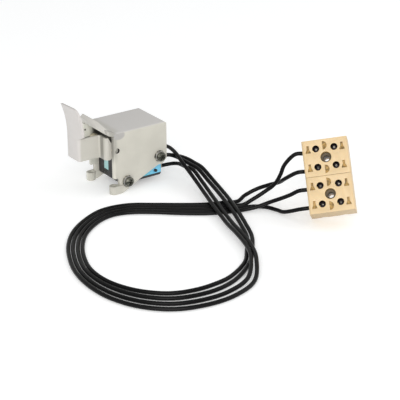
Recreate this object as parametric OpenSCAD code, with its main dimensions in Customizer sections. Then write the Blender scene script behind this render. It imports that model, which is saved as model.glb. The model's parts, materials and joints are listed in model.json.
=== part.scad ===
// Twin microswitch unit: two snap-action switches side by side in a moulded housing,
// worked by one bent sheet lever, with four leads looped out to two terminal blocks.
// Millimetres. The origin is midway between the two foot holes, on the mounting plane.
// +X runs from the lever to the rear of the housing, +Y to its far side, +Z up.

/* [Housing] */
// Thickness of the side walls
wall = 2.5; // [2.2:0.1:2.6]
// Thickness of the roof
roof_t = 2; // [1.6:0.1:2.2]
// Thickness of the rear wall
rear_t = 1.6; // [1.2:0.1:2]
// Free height between the lever's arm and the roof
headroom = 4.2; // [3:0.1:7]
// Height of the cable opening above the switches
rear_gap = 4.3; // [2.5:0.1:6]
// Room behind the switches, for their tabs
rear_room = 2.4; // [2:0.1:5]
// Radius of the outer edges of the housing
edge_r = 1.2; // [0.6:0.1:1.6]
// Distance from the foot holes forward to the front edge of the near wall
foot_set_back = 0.4; // [0.2:0.1:0.8]
// Height of the lip's crest over the roof
lip_rise = 4.4; // [3.4:0.1:5]
// Distance that the lip stands forward of the near wall
lip_reach = 4.7; // [4.2:0.1:5.4]
// Thickness of the lip, from its front edge to its crest
lip_t = 2; // [1.4:0.1:2.4]
// Distance that the far wall stands forward of the near wall
wing_reach = 4.1; // [3.4:0.1:4.4]

/* [Feet] */
// Distance from the outer face of a wall to its foot hole
foot_inset = 1.75; // [1.4:0.05:2]
// Height of the feet
foot_h = 4.8; // [4:0.1:5.4]
// Radius of the round front of a foot
foot_r = 2.7; // [2.5:0.1:3.2]
// Diameter of the foot holes
foot_hole_d = 3.2; // [2.8:0.1:3.6]

/* [Switches] */
// Width of a switch case
switch_w = 10.3; // [10:0.1:10.5]
// Thickness of the blue near half of a switch case
half_t = 4.6; // [4:0.1:5]
// Distance from the foot holes back to the front of the switches
switch_x = 5.3; // [5:0.1:5.6]
// Height of the underside of the switches
switch_z = 3.8; // [3.4:0.1:4.2]
// Distance between the two switch screws along the case
screw_pitch_x = 22.2; // [22:0.1:22.4]
// Distance between the two switch screws up the case
screw_pitch_z = 10.3; // [10:0.1:10.5]
// Distance from the edges of a case to its screws
screw_inset = 2.8; // [2.6:0.1:3]
// Thickness of the spacer between the switches
spacer_t = 3.2; // [2:0.1:5]
// Diameter of a plunger
plunger_d = 3.2; // [2.8:0.1:3.6]
// Height of a free plunger above its case
plunger_rise = 2.6; // [2.5:0.1:3]
// Distance from the front of the case to the plunger axis
plunger_x = 7.3; // [7:0.1:8]

/* [Lever] */
// Thickness of the lever sheet
sheet_t = 1.2; // [0.8:0.1:1.4]
// Inside radius of the folds in the lever
fold_r = 0.8; // [0.5:0.1:1.2]
// Distance from the near wall forward to the lever's front plate
reach = 16.7; // [14:0.1:19]
// Gap between the near wall and the jog strip of the lever
jog_gap = 2.4; // [2:0.1:2.8]
// Height of the lower edge of the lever above the switches
lever_lift = 1; // [0.6:0.1:1.8]
// Height of the side web of the lever
web_h = 13.4; // [12:0.1:13.5]
// Height of the tongue above the front plate
tongue_rise = 19.4; // [16:0.1:22]
// Angle that the tongue leans outward at its tip
tongue_lean = 22; // [12:1:26]
// Width of the front plate
plate_w = 11.6; // [10:0.1:13]
// Width of the tongue
tip_w = 17.6; // [16:0.1:19]

/* [Pivot] */
// Diameter of the pivot pin
pin_d = 3; // [2.5:0.1:3.2]
// Outside diameter of the bush on the pin
bush_d = 5.6; // [5:0.1:6]
// Distance from the foot holes back to the pivot axis
pivot_x = 1.9; // [1.5:0.1:2.4]
// Height of the pivot axis above the switches
pivot_rise = 6.7; // [6.3:0.1:7.3]
// Wire diameter of the return spring
spring_wire = 0.7; // [0.5:0.1:0.8]
// Number of coils in the return spring
spring_coils = 4; // [3:1:5]

/* [Fasteners] */
// Thread diameter of the switch screws
screw_d = 3; // [2.5:0.1:3]
// Diameter of the screw heads
head_d = 5.6; // [5:0.1:6]
// Height of the screw heads
head_h = 2.2; // [1.8:0.1:2.6]
// Diameter of the flat washers
washer_d = 6.8; // [6.2:0.1:7]
// Thickness of the flat washers
washer_t = 0.5; // [0.3:0.1:0.8]
// Width of the nuts across their flats
nut_af = 5.5; // [5:0.1:5.5]
// Height of the nuts
nut_h = 2.4; // [1.8:0.1:2.6]

/* [Terminal blocks] */
// Distance between poles, along a strip
pole_pitch = 10.25; // [10:0.05:11]
// Width of a strip, along the wires
strip_w = 25; // [24:0.5:27]
// Height of a strip, base to face
strip_t = 15; // [14:0.5:16]
// Outside diameter of the clamp tubes
tube_d = 5.4; // [5:0.1:6]
// Bore of the clamp tubes
tube_bore = 3.4; // [3:0.1:3.6]
// Diameter of the clamp screws
clamp_d = 3; // [2.5:0.1:3.2]
// Distance between the two screws of a pole
clamp_gap = 10; // [9:0.5:11]
// Diameter of the mounting hole of a strip
strip_hole_d = 3.4; // [3:0.1:4]

/* [Wires] */
// Outside diameter of a wire
wire_d = 2.3; // [1.8:0.1:2.3]

/* [Hidden] */

$fn = 48;
fit = 0.05;          // radial clearance of fixed round fits
running = 0.05;      // radial clearance of the lever on its pin
slide_gap = 0.15;    // clearance round a plunger
side_gap = 0.1;      // clearance beside each switch
end_gap = 0.3;       // clearance at the ends of the bush and beside the lever
touch_gap = 0.15;    // gap between the lever's finger and the free plungers
cut = 0.1;           // how far a cutting shape runs past a face

switch_l = screw_pitch_x + 2 * screw_inset;
switch_h = screw_pitch_z + 2 * screw_inset;
switch_top = switch_z + switch_h;
front_x = -foot_set_back;
rear_x = switch_x + switch_l + rear_room;
housing_l = rear_x - front_x;
inner_w = 2 * switch_w + spacer_t + 2 * side_gap;
inner_y = inner_w / 2;
housing_w = inner_w + 2 * wall;
foot_pitch = housing_w - 2 * foot_inset;
pivot_z = switch_top + pivot_rise;
arm_r = 4.4;         // radius of the lever's arm round the pin
housing_h = pivot_z + arm_r + headroom + roof_t;
rear_wall_z = switch_top + rear_gap;
// near faces of the two switches
near_y = -inner_y + side_gap;
far_y = spacer_t / 2;
screw_x = [switch_x + screw_inset, switch_x + screw_inset + screw_pitch_x];
screw_z = [switch_z + screw_inset, switch_z + screw_inset + screw_pitch_z];
case_hole_d = screw_d + 0.1;
press_x = switch_x + plunger_x;

blue = [0.42, 0.72, 0.86];
black = [0.12, 0.12, 0.13];
grey = [0.82, 0.81, 0.77];
steel = [0.62, 0.63, 0.62];
brass = [0.72, 0.58, 0.25];
beige = [0.92, 0.83, 0.66];

// a plate in the XZ plane, from y0 to y1
module side_plate(y0, y1) {
    translate([0, y1, 0]) rotate([90, 0, 0]) linear_extrude(y1 - y0) children();
}

// a cylinder along Y, from y0 to y1
module y_cyl(x, z, y0, y1, d) {
    translate([x, y1, z]) rotate([90, 0, 0]) cylinder(d = d, h = y1 - y0);
}

// points of an arc, angles in degrees
function arc(c, r, a0, a1, n = 8) =
    [for (k = [0 : n]) c + r * [cos(a0 + (a1 - a0) * k / n), sin(a0 + (a1 - a0) * k / n)]];

// Housing: side walls with a slanted lower edge, a roof with a lip and two feet
floor_rise = 11.5;       // height of the lower edge at the rear
slant_start = 4;         // where the slanted edge leaves the foot
slant_end = rear_x - 6;  // where it reaches the level rear part
rear_slope = 3;          // chamfer at the lower rear corner
notch_top = 9.4;         // top of the screwdriver notch over a foot
notch_r = 3.3;

// corners of the lip's side profile: under its front edge, on its front edge and on its crest
lip_foot = [front_x - lip_reach + 1, housing_h - 0.1];
lip_front = [front_x - lip_reach, housing_h + lip_rise - 1.65];
lip_crest = [front_x - lip_reach + lip_t, housing_h + lip_rise];

module side_outline() {
    polygon(concat(
        [[front_x, foot_h], [slant_start, 0], [slant_end, floor_rise],
         [rear_x - rear_slope, floor_rise], [rear_x, floor_rise + rear_slope]],
        arc([rear_x - edge_r, housing_h - edge_r], edge_r, 0, 90),
        [[front_x, housing_h]]));
}

module front_outline() {
    half = housing_w / 2;
    polygon(concat([[-half, 0]], [[half, 0]],
        arc([half - edge_r, housing_h - edge_r], edge_r, 0, 90),
        arc([-half + edge_r, housing_h - edge_r], edge_r, 90, 180)));
}

module plan_outline() {
    half = housing_w / 2;
    polygon(concat([[rear_x, -half]], [[rear_x, half]],
        arc([front_x + edge_r, half - edge_r], edge_r, 90, 180),
        arc([front_x + edge_r, -half + edge_r], edge_r, 180, 270)));
}

// a lug with a round front, faired into the lower edge of its wall and cut clear
// of the washer under the front screw
module foot(side) {
    inner = inner_y - cut;
    outer = foot_pitch / 2 + foot_r;
    low_y = side > 0 ? inner : -outer;
    translate([0, side * foot_pitch / 2, 0]) cylinder(r = foot_r, h = foot_h);
    translate([0, low_y, 0]) cube([slant_start, outer - inner, foot_h]);
    difference() {
        side_plate(low_y, low_y + outer - inner) polygon([[slant_start - cut, 0],
            [slant_start, 0], [slant_start + foot_h, foot_h * 0.45],
            [slant_start + foot_h * 0.6, foot_h], [slant_start - cut, foot_h]]);
        side_plate(low_y - cut, low_y + outer - inner + cut)
            translate([screw_x[0], screw_z[0]]) circle(d = washer_d + 2 * end_gap);
    }
}

// lip along the front of the roof: it leans forward, and a slanted facet takes its
// crest down to the front edge at the near end
module lip() {
    half = housing_w / 2;
    near = [lip_front.x, -half, lip_front.y];
    peak = [lip_crest.x, -half * 0.15, lip_crest.y];
    back = [front_x + 2.4, -half, housing_h];
    low = [peak, peak + 1.3 * (near - peak), peak + 1.3 * (back - peak)];
    high = [for (p = low) p + [0, 0, lip_rise + 2]];
    difference() {
        side_plate(-half, half) polygon([[front_x + cut, housing_h - roof_t], lip_foot,
            lip_front, lip_crest, [front_x + 1, housing_h], [front_x + 1, housing_h - roof_t]]);
        polyhedron(points = concat(low, high),
            faces = [[0, 2, 1], [3, 4, 5], [0, 1, 4, 3], [1, 2, 5, 4], [2, 0, 3, 5]]);
    }
}

// the far wall reaches forward under the lip
module far_wing() {
    side_plate(inner_y, housing_w / 2) polygon([[front_x + cut, switch_top - 6],
        [front_x - wing_reach, switch_top + 2], [front_x - wing_reach, housing_h - 2.4],
        lip_foot, [front_x + cut, housing_h - cut]]);
}

module housing() {
    half = housing_w / 2;
    color(grey) difference() {
        union() {
            difference() {
                intersection() {
                    side_plate(-half, half) side_outline();
                    translate([front_x, 0, 0]) rotate([90, 0, 90])
                        linear_extrude(housing_l) front_outline();
                    linear_extrude(housing_h) plan_outline();
                }
                translate([front_x - cut, -inner_y, -cut])
                    cube([housing_l - rear_t + cut, inner_w, housing_h - roof_t + cut]);
                translate([front_x - cut, -inner_y, -cut])
                    cube([housing_l + 2 * cut, inner_w, rear_wall_z + cut]);
                for (s = [-1, 1])
                    translate([0, s * foot_pitch / 2, foot_h]) cylinder(r = notch_r, h = notch_top - foot_h);
            }
            lip();
            far_wing();
            for (s = [-1, 1]) foot(s);
        }
        for (s = [-1, 1])
            translate([0, s * foot_pitch / 2, -cut]) cylinder(d = foot_hole_d, h = foot_h + 2 * cut);
        y_cyl(pivot_x, pivot_z, -half - cut, half + cut, pin_d + 2 * fit);
        for (k = [0, 1]) y_cyl(screw_x[k], screw_z[k], -half - cut, half + cut, screw_d + 0.2);
    }
}

// Lever: one sheet folded into a Z in plan, with a tongue in front and a finger behind
plate_x = front_x - reach;
web_y = -3.9;
arm_y = -inner_y + end_gap + sheet_t / 2;
strip_x = front_x - jog_gap - sheet_t / 2;
arm_end = press_x + 3;
finger_z = switch_top + plunger_rise + touch_gap;
finger_y = far_y + switch_w - 1.5;
arm_top = pivot_z + arm_r;
lever_z = switch_top + lever_lift;
tongue_z = lever_z + web_h + 1;
tongue_top = tongue_z + tongue_rise;

// the centre line of the sheet in plan, and its folds
module fold(x, y, a) {
    translate([x, y]) intersection() {
        difference() { circle(r = fold_r + sheet_t); circle(r = fold_r); }
        rotate(a) square(fold_r + sheet_t);
    }
}

module plan_strip() {
    t = sheet_t;
    r = fold_r + t / 2;
    // front plate
    translate([plate_x - t / 2, web_y + r]) square([t, plate_w - r]);
    fold(plate_x + r, web_y + r, 180);
    // side web
    translate([plate_x + r, web_y - t / 2]) square([strip_x - plate_x - 2 * r, t]);
    fold(strip_x - r, web_y - r, 0);
    // jog strip beside the front edge
    translate([strip_x - t / 2, arm_y + r]) square([t, web_y - arm_y - 2 * r]);
    fold(strip_x + r, arm_y + r, 180);
    // arm along the near wall
    translate([strip_x + r, arm_y - t / 2]) square([arm_end - strip_x - r, t]);
}

module lever_side_outline() {
    web_top = lever_z + web_h;
    polygon(concat(
        [[plate_x - sheet_t, lever_z], [strip_x + 2, lever_z], [strip_x + 5, finger_z],
         [arm_end, finger_z]],
        arc([arm_end - 2, finger_z + 3], 2, 0, 90),
        [[pivot_x + 5, finger_z + 5]],
        arc([pivot_x, pivot_z], arm_r, 20, 90),
        [[strip_x + 3, arm_top], [strip_x + 1.2, web_top], [plate_x - sheet_t, web_top]]));
}

tongue_r = tongue_rise / sin(tongue_lean);

module tongue_profile() {
    steps = 10;
    inner = [for (k = [0 : steps]) let (a = tongue_lean * k / steps)
        [plate_x + sheet_t / 2 - tongue_r * (1 - cos(a)) , tongue_z + tongue_r * sin(a)]];
    outer = [for (k = [steps : -1 : 0]) let (a = tongue_lean * k / steps)
        [plate_x + sheet_t / 2 - tongue_r * (1 - cos(a)) - sheet_t * cos(a),
         tongue_z + tongue_r * sin(a) - sheet_t * sin(a)]];
    polygon(concat([[plate_x + sheet_t / 2, lever_z]], inner, outer,
        [[plate_x - sheet_t / 2, lever_z]]));
}

module tongue_outline() {
    far = web_y + plate_w;
    near = far - tip_w;
    fold_y = web_y + fold_r + sheet_t / 2;
    waist = lever_z + web_h;
    r = 3.4;
    polygon(concat(
        [[fold_y, lever_z], [far, lever_z], [far, tongue_top - 1], [near + r + 1, tongue_top - cut]],
        arc([near + r, tongue_top - cut - r], r, 90, 180),
        [[near, waist + 3.3], [web_y - sheet_t / 2, waist + 0.1], [fold_y, waist + 0.1]]));
}

module lever() {
    color(grey) {
        difference() {
            union() {
                intersection() {
                    translate([0, 0, lever_z]) linear_extrude(web_h) plan_strip();
                    side_plate(-inner_y, inner_y) lever_side_outline();
                }
                intersection() {
                    side_plate(-inner_y, inner_y + 6) tongue_profile();
                    rotate([90, 0, 90]) translate([0, 0, plate_x - tongue_rise])
                        linear_extrude(tongue_rise + 2 * sheet_t) tongue_outline();
                }
                // finger folded in from the arm, over both plungers
                translate([press_x - 3, arm_y - sheet_t / 2, finger_z])
                    cube([6, finger_y - arm_y + sheet_t / 2, sheet_t]);
            }
            y_cyl(pivot_x, pivot_z, -inner_y, 0, bush_d - 1 + 2 * fit);
        }
    }
}

// Pivot: a pin held in both walls, a bush that carries the lever and its spring
clip_t = 0.6;
pin_end = housing_w / 2 + 2;

module pivot_pin() {
    groove = housing_w / 2 + 0.2;
    color(steel) difference() {
        y_cyl(pivot_x, pivot_z, -housing_w / 2, pin_end, pin_d);
        difference() {
            y_cyl(pivot_x, pivot_z, groove, groove + clip_t + 0.1, pin_d + 1);
            y_cyl(pivot_x, pivot_z, groove - 1, groove + 2, pin_d - 0.8);
        }
    }
}

module retaining_clip() {
    color(steel) translate([pivot_x, housing_w / 2 + 0.2 + clip_t + 0.05, pivot_z])
        rotate([90, 0, 0]) linear_extrude(clip_t) difference() {
            circle(d = pin_d + 3.2);
            circle(d = pin_d - 0.8 + 2 * fit);
            translate([-(pin_d - 1) / 2, -pin_d * 2]) square([pin_d - 1, pin_d * 2]);
        }
}

module pivot_bush() {
    neck = bush_d - 1;
    seat = arm_y + sheet_t / 2;
    color([0.93, 0.88, 0.74]) difference() {
        union() {
            y_cyl(pivot_x, pivot_z, arm_y - sheet_t / 2, seat + cut, neck);
            y_cyl(pivot_x, pivot_z, seat, inner_y - end_gap, bush_d);
        }
        y_cyl(pivot_x, pivot_z, -inner_y, inner_y, pin_d + 2 * running);
    }
}

// one tube swept along a path; ref is a direction that the path never follows
function unit(v) = v / norm(v);
function heading(p, i) = unit(p[min(i + 1, len(p) - 1)] - p[max(i - 1, 0)]);
function tube_ring(c, t, ref, r, n) =
    let (a = unit(cross(t, ref)), b = cross(a, t))
    [for (k = [0 : n - 1]) c + r * (cos(360 * k / n) * a + sin(360 * k / n) * b)];

module swept_tube(p, d, ref, n = 8) {
    last = len(p) - 1;
    polyhedron(
        points = [for (i = [0 : last]) each tube_ring(p[i], heading(p, i), ref, d / 2, n)],
        faces = concat(
            [[for (k = [0 : n - 1]) k]],
            [for (i = [0 : last - 1], k = [0 : n - 1])
                [i * n + k, (i + 1) * n + k, (i + 1) * n + (k + 1) % n, i * n + (k + 1) % n]],
            [[for (k = [n - 1 : -1 : 0]) last * n + k]]));
}

spring_r = bush_d / 2 + 0.4 + spring_wire / 2;
spring_y = arm_y + sheet_t / 2 + 0.6;
spring_pitch = spring_wire + 0.25;

// legs: one bears on the near switch, the other on the jog strip of the lever
function spring_path() =
    let (steps = 16, turns = spring_coils + 0.42,
         foot_y = spring_y + spring_wire / 2,
         strip_face = strip_x + sheet_t / 2 + spring_wire / 2)
    concat(
        [[press_x - 5.5, foot_y, switch_top + spring_wire / 2 + 0.1],
         [pivot_x + 1.2, foot_y, switch_top + spring_wire / 2 + 1.3]],
        [for (k = [0 : steps * turns]) let (a = -70 - 360 * k / steps)
            [pivot_x + spring_r * cos(a), foot_y + spring_pitch * k / steps,
             pivot_z + spring_r * sin(a)]],
        [[strip_face + 1, foot_y + spring_pitch * turns, pivot_z + spring_r + 0.4],
         [strip_face + 0.1, foot_y + spring_pitch * turns, pivot_z + spring_r + 1.6]]);

module return_spring() {
    color(steel) swept_tube(spring_path(), spring_wire, [0, 1, 0.001], 6);
}

// Switch: a blue near half and a black cover, with a plunger and three tabs between them
tab_t = 0.8;
tab_w = 4.4;
tab_in = 4;
tab_pitch = 6.6;
com_z = switch_z + 2.6;
nc_z = com_z + tab_pitch;
no_x = 9;
corner_r = 1.2;

module case_outline() {
    l = switch_l;
    h = switch_h;
    r = corner_r;
    translate([switch_x, switch_z]) polygon(concat(
        arc([r, r], r, 180, 270), arc([l - r, r], r, 270, 360),
        arc([l - r, h - r], r, 0, 90), arc([r, h - r], r, 90, 180)));
}

module case_holes(y0, y1) {
    for (k = [0, 1]) y_cyl(screw_x[k], screw_z[k], y0 - cut, y1 + cut, case_hole_d);
}

module plunger_well(y) {
    translate([press_x, y + switch_w / 2, switch_top - 7])
        cylinder(d = plunger_d + 2 * slide_gap, h = 7 + cut);
}

// pockets in the cover that hold the tabs, at the joint between the halves
module tab_pockets(y) {
    split = y + half_t;
    for (z = [com_z, nc_z])
        translate([switch_x + switch_l - tab_in, split - cut, z - tab_w / 2 - fit])
            cube([tab_in + cut, tab_t + fit + cut, tab_w + 2 * fit]);
    translate([switch_x + no_x - fit, split - cut, switch_z - cut])
        cube([tab_w + 2 * fit, tab_t + fit + cut, tab_in + cut]);
}

module case_half(y) {
    color(blue) difference() {
        side_plate(y, y + half_t) case_outline();
        case_holes(y, y + half_t);
        plunger_well(y);
        // blind moulding recess near the rear screw
        y_cyl(screw_x[1] - 1.8, switch_z + 3.4, y - cut, y + 1, 2.4);
        // shallow relief round the front screw
        y_cyl(screw_x[0], screw_z[0], y - cut, y + 0.3, 5);
    }
}

module case_cover(y) {
    color(black) difference() {
        side_plate(y + half_t, y + switch_w) case_outline();
        case_holes(y + half_t, y + switch_w);
        plunger_well(y);
        tab_pockets(y);
    }
}

module plunger(y) {
    tip = plunger_d / 2;
    color([0.85, 0.3, 0.22]) translate([press_x, y + switch_w / 2, 0]) {
        translate([0, 0, switch_top - 4]) cylinder(d = plunger_d, h = 4 + plunger_rise - tip);
        translate([0, 0, switch_top + plunger_rise - tip]) sphere(r = tip);
    }
}

module rear_tab(y, z) {
    color(brass) translate([switch_x + switch_l - tab_in + fit, y + half_t, z - tab_w / 2])
        cube([tab_in + rear_room - fit, tab_t, tab_w]);
}

// the unused tab below the case, bent back flat
module bottom_tab(y) {
    drop = 1.2;
    color(brass) {
        translate([switch_x + no_x, y + half_t, switch_z - drop])
            cube([tab_w, tab_t, tab_in + drop - fit]);
        translate([switch_x + no_x, y + half_t, switch_z - drop])
            cube([tab_w, 3.6, tab_t]);
    }
}

module near_case_half() { case_half(near_y); }
module near_case_cover() { case_cover(near_y); }
module near_plunger() { plunger(near_y); }
module near_com_tab() { rear_tab(near_y, com_z); }
module near_nc_tab() { rear_tab(near_y, nc_z); }
module near_no_tab() { bottom_tab(near_y); }
module far_case_half() { case_half(far_y); }
module far_case_cover() { case_cover(far_y); }
module far_plunger() { plunger(far_y); }
module far_com_tab() { rear_tab(far_y, com_z); }
module far_nc_tab() { rear_tab(far_y, nc_z); }
module far_no_tab() { bottom_tab(far_y); }

module switch_spacer() {
    color([0.2, 0.2, 0.21]) difference() {
        side_plate(-spacer_t / 2, spacer_t / 2) case_outline();
        case_holes(-spacer_t / 2, spacer_t / 2);
    }
}

// Fasteners: heads and washers on the near side, nuts on the far side
spring_t = 0.8;
wall_y = housing_w / 2;
head_y = -wall_y - washer_t - spring_t;

module switch_screw(k) {
    end_y = wall_y + washer_t + nut_h + 0.8;
    color(steel) difference() {
        union() {
            y_cyl(screw_x[k], screw_z[k], head_y, end_y, screw_d);
            y_cyl(screw_x[k], screw_z[k], head_y - head_h * 0.6, head_y, head_d);
            translate([screw_x[k], head_y - head_h * 0.6, screw_z[k]]) rotate([90, 0, 0])
                cylinder(d1 = head_d, d2 = head_d * 0.72, h = head_h * 0.4, $fn = 48);
        }
        // cross recess
        for (a = [25, 115]) translate([screw_x[k], head_y - head_h - cut, screw_z[k]])
            rotate([0, a, 0]) translate([-1.5, 0, -0.35]) cube([3, head_h * 0.7, 0.7]);
    }
}

module ring(x, z, y0, y1, d, bore) {
    difference() {
        y_cyl(x, z, y0, y1, d);
        y_cyl(x, z, y0 - cut, y1 + cut, bore);
    }
}

module front_screw() { switch_screw(0); }
module rear_screw() { switch_screw(1); }

module flat_washers() {
    bore = screw_d + 0.2;
    color(steel) for (k = [0, 1]) {
        ring(screw_x[k], screw_z[k], -wall_y - washer_t, -wall_y, washer_d, bore);
        ring(screw_x[k], screw_z[k], wall_y, wall_y + washer_t, washer_d, bore);
    }
}

module spring_washers() {
    color(steel) for (k = [0, 1]) difference() {
        ring(screw_x[k], screw_z[k], head_y, head_y + spring_t, head_d + 0.3, screw_d + 0.2);
        translate([screw_x[k], head_y - cut, screw_z[k]]) rotate([0, 35, 0])
            cube([head_d, spring_t + 2 * cut, 0.5]);
    }
}

module nuts() {
    color(steel) for (k = [0, 1])
        translate([screw_x[k], wall_y + washer_t + nut_h, screw_z[k]]) rotate([90, 0, 0])
            difference() {
                cylinder(d = nut_af / cos(30), h = nut_h, $fn = 6);
                translate([0, 0, -cut]) cylinder(d = screw_d + 2 * fit, h = nut_h + 2 * cut);
            }
}

// Terminal blocks: modelled face down in their own axes, then set where they lie.
// Own axes: x along the wires, y from the face to the base, z up the strips.
block_corner = [70.5, -106, 0];
block_turn = -47;
block_lean = 33.5;
block_roll = 12.5;
strip_l = 2 * pole_pitch;
tube_y = 7.5;
tube_in = 2.5;
seam = 0.2;
bell_x = 3.2;        // distance of the bell recesses from the ends of a pole
moon_r = 2.4;        // radius of the half moon recesses
moon_z = 6.6;        // their distance from the middle of a strip
recess_t = 1.6;      // depth of both
channel_r = 2.8;

module place_block() {
    translate(block_corner) rotate([0, 0, block_turn]) rotate([-block_lean, 0, 0])
        rotate([0, -block_roll, 0]) translate([0, -strip_t, 0]) children();
}

function pole_z(n) = 2 * strip_l - (n - 0.5) * pole_pitch;
clamp_x = [(strip_w - clamp_gap) / 2, (strip_w + clamp_gap) / 2];

module bell() {
    polygon([[-0.65, 2.1], [0.65, 2.1], [0.7, 0], [1.4, -1.5], [1.4, -2.1],
        [-1.4, -2.1], [-1.4, -1.5], [-0.7, 0]]);
}

module half_moon() {
    translate([-moon_r / 2, 0]) intersection() {
        circle(r = moon_r);
        translate([0, -moon_r]) square([moon_r, 2 * moon_r]);
    }
}

module strip(k) {
    z0 = k == 0 ? strip_l : 0;
    mid = z0 + strip_l / 2;
    r = 1.2;
    color(beige) place_block() difference() {
        // body with rounded long edges on the face side
        translate([0, 0, z0 + seam / 2]) linear_extrude(strip_l - seam) polygon(concat(
            arc([r, r], r, 180, 270, 6), arc([strip_w - r, r], r, 270, 360, 6),
            [[strip_w, strip_t], [0, strip_t]]));
        for (p = [1, 2]) {
            z = pole_z(2 * k + p);
            // tube channel, with a wire funnel at each end
            translate([-cut, tube_y, z]) rotate([0, 90, 0]) cylinder(d = tube_bore, h = strip_w + 2 * cut);
            translate([tube_in, tube_y, z]) rotate([0, 90, 0])
                cylinder(d = tube_d + 2 * fit, h = strip_w - 2 * tube_in);
            // screw wells
            for (x = clamp_x) translate([x, -cut, z]) rotate([-90, 0, 0])
                cylinder(d = clamp_d + 0.9, h = tube_y);
        }
        // mounting hole with its counterbore
        translate([strip_w / 2, -cut, mid]) rotate([-90, 0, 0]) {
            cylinder(d = strip_hole_d, h = strip_t + 2 * cut);
            cylinder(d = 6, h = 4);
        }
        // recesses in the face: a bell at each end of a pole, a half moon in its middle
        for (p = [1, 2], x = [bell_x, strip_w - bell_x]) translate([x, 0, pole_z(2 * k + p)])
            side_plate(-cut, recess_t) bell();
        for (s = [-1, 1]) translate([strip_w / 2, 0, mid + s * moon_z])
            side_plate(-cut, recess_t) half_moon();
        // channels along the base
        for (x = [strip_w * 0.28, strip_w * 0.72]) translate([x, strip_t + channel_r * 0.6, z0 - cut])
            cylinder(r = channel_r, h = strip_l + 2 * cut);
    }
}

module clamp_tube(n) {
    z = pole_z(n);
    color(brass) place_block() difference() {
        translate([tube_in, tube_y, z]) rotate([0, 90, 0]) cylinder(d = tube_d, h = strip_w - 2 * tube_in);
        translate([tube_in - cut, tube_y, z]) rotate([0, 90, 0])
            cylinder(d = tube_bore, h = strip_w - 2 * tube_in + 2 * cut);
        for (x = clamp_x) translate([x, 0, z]) rotate([-90, 0, 0]) cylinder(d = clamp_d + 2 * fit, h = tube_y);
    }
}

// slotted clamp screws, two to a pole, driven in until they meet the wire's channel
module clamp_screws(k) {
    sunk = 1.8;
    tip = tube_y - wire_d / 2 - 0.1;
    color(steel) place_block() for (p = [1, 2], x = clamp_x)
        translate([x, sunk, pole_z(2 * k + p)]) rotate([-90, 0, 0]) difference() {
            cylinder(d = clamp_d, h = tip - sunk);
            translate([-clamp_d, -0.3, -cut]) cube([2 * clamp_d, 0.6, 0.7 + cut]);
        }
}

module upper_block() { strip(0); }
module lower_block() { strip(1); }
module clamp_tube_1() { clamp_tube(1); }
module clamp_tube_2() { clamp_tube(2); }
module clamp_tube_3() { clamp_tube(3); }
module clamp_tube_4() { clamp_tube(4); }
module upper_clamp_screws() { clamp_screws(0); }
module lower_clamp_screws() { clamp_screws(1); }

// Wires: the four share one loop over the ground. Each row is a point of the loop's
// middle, then how far wires 1 to 4 lie to its left, then how far each is lifted.
LOOP = [
    [[44.5, -31, 10.5], [-4.6, -1.6, 1.6, 4.6], [0, 0, 0, 0]],
    [[43.5, -42, 7], [-5, -1.8, 2, 5], [0, 0, 0, 0]],
    [[41, -54, 5], [-5.4, -2.2, 2.4, 5.4], [0, 0, 0, 0]],
    [[37.5, -66, 4.2], [-5.6, -2.4, 2.6, 5.6], [0, 0, 0, 0]],
    [[33, -79, 4], [-5.4, -2.4, 2.6, 5.4], [0, 0, 0, 0]],
    [[28.5, -92, 3], [-4.8, -1.8, 2.4, 5.2], [0.6, 0.6, 0, 0]],
    [[23.5, -105, 1.8], [-3.4, -0.6, 2, 4.8], [2.2, 2.2, 0, 0]],
    [[17, -119, 1.3], [-1.3, 1.3, -1.3, 1.6], [2.5, 2.5, 0, 0]],
    [[8, -131, 1.3], [0.8, 3.6, -2.6, 0], [2.5, 2.4, 0, 0]],
    [[-5.5, -142.5, 1.3], [3.2, 7, -6, -2.2], [0.9, 0.3, 0, 0]],
    [[-19.5, -147, 1.3], [3, 8, -7.6, -2.4], [0, 0, 0, 0]],
    [[-33.5, -147, 1.3], [2.8, 8.2, -8.2, -2.8], [0, 0, 0, 0]],
    [[-47, -142.5, 1.3], [2.8, 8.2, -8.2, -2.8], [0, 0, 0, 0]],
    [[-57.5, -133, 1.3], [2.6, 7.6, -7.6, -2.6], [0, 0, 0, 0]],
    [[-64.5, -120, 1.3], [2.2, 6.4, -6.4, -2.2], [0, 0, 0, 0]],
    [[-67.5, -105, 1.3], [1.8, 5, -5, -1.8], [0, 0, 0, 0]],
    [[-66.5, -89.5, 1.3], [1.4, 4.1, -4.1, -1.4], [0, 0, 0, 0]],
    [[-61.5, -74.5, 1.3], [1.3, 3.8, -3.8, -1.3], [0, 0, 0, 0]],
    [[-54, -60.5, 1.3], [1.3, 3.8, -3.8, -1.3], [0, 0, 0, 0]],
    [[-44, -48.5, 1.3], [1.3, 3.8, -3.8, -1.3], [0, 0, 0, 0]],
    [[-31, -39.5, 1.3], [1.3, 3.9, -3.9, -1.3], [0, 0, 0, 0]],
    [[-18.5, -35.5, 1.3], [1.5, 4.5, -4.5, -1.5], [0, 0, 0, 0]],
    [[-6, -38, 1.3], [1.7, 5, -5, -1.7], [0, 0, 0, 0]],
    [[6, -46, 1.3], [1.7, 5, -5, -1.7], [0, 0, 0, 0]],
    [[17.5, -55, 1.3], [1.9, 5.6, -5.6, -1.9], [0, 0, 0, 0]],
    [[29, -63, 1.3], [2, 6, -6, -2], [0, 0, 0, 0]],
    [[39, -67.5, 1.3], [2.2, 6.4, -6.4, -2.4], [0, 0, 0, 0]]];

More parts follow.
